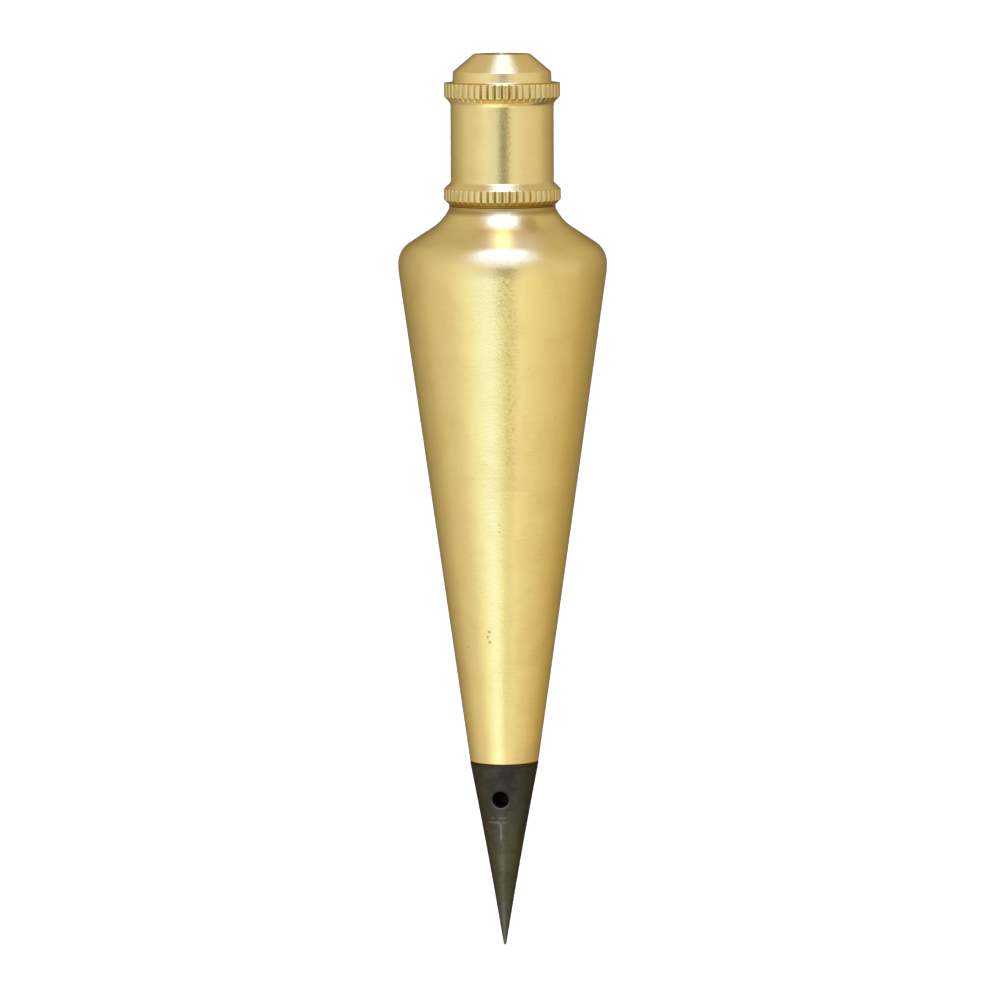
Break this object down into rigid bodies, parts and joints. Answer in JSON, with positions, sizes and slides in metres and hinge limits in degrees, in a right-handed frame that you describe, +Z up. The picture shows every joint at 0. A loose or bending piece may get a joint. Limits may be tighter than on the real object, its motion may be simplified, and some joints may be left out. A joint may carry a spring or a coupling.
{
  "type": "plumb bob",
  "caption": "Turned brass plumb bob with a knurled screw cap that holds the cord's knot and a screwed-in steel point, for marking a true vertical below a hanging cord.",
  "frame": {"origin": "on the bob's axis, in the plane of the cap's flat top, at the mouth of the cord hole that it hangs by", "axes": "+Z up along the bob's axis and the cord, the steel point towards -Z; -Y is the front, where the point's tommy-bar hole is seen 9 degrees to the left"},
  "size_m": [0.0354, 0.0354, 0.1524],
  "materials": {
    "body_brass": "satin, lathe-brushed round the axis",
    "cap_brass": "bright satin, straight knurls",
    "cup_brass": "plain turned",
    "point_steel": "hardened, oil-blackened, fine turned lines",
    "ring_rubber": "matt black"
  },
  "bodies": {
    "bob_body": {"body": "body_brass"},
    "cord_knot_cup": {"knot_cup": "cup_brass"},
    "screw_cap": {"cap": "cap_brass"},
    "point_ring": {"shank_ring": "ring_rubber"},
    "screw_point": {"steel_point": "point_steel"}
  },
  "joints": [
    {"name": "cap_lift", "type": "slide", "parent": "bob_body", "child": "cord_knot_cup", "axis": [0, 0, 1], "range_m": [0, 0.00762]},
    {"name": "cap_turn", "type": "hinge", "parent": "cord_knot_cup", "child": "screw_cap", "pos_m": [0, 0, 0], "axis": [0, 0, 1], "range_deg": [0, 2160]},
    {"name": "point_drop", "type": "slide", "parent": "bob_body", "child": "point_ring", "axis": [0, 0, -1], "range_m": [0, 0.00762]},
    {"name": "point_turn", "type": "hinge", "parent": "point_ring", "child": "screw_point", "pos_m": [0, 0, -0.1209], "axis": [0, 0, -1], "range_deg": [0, 2160]}
  ],
  "couplings": [
    {"joint": "cap_turn", "follows": "cap_lift", "rad_per_m": 4947.4},
    {"joint": "point_turn", "follows": "point_drop", "rad_per_m": 4947.4}
  ]
}
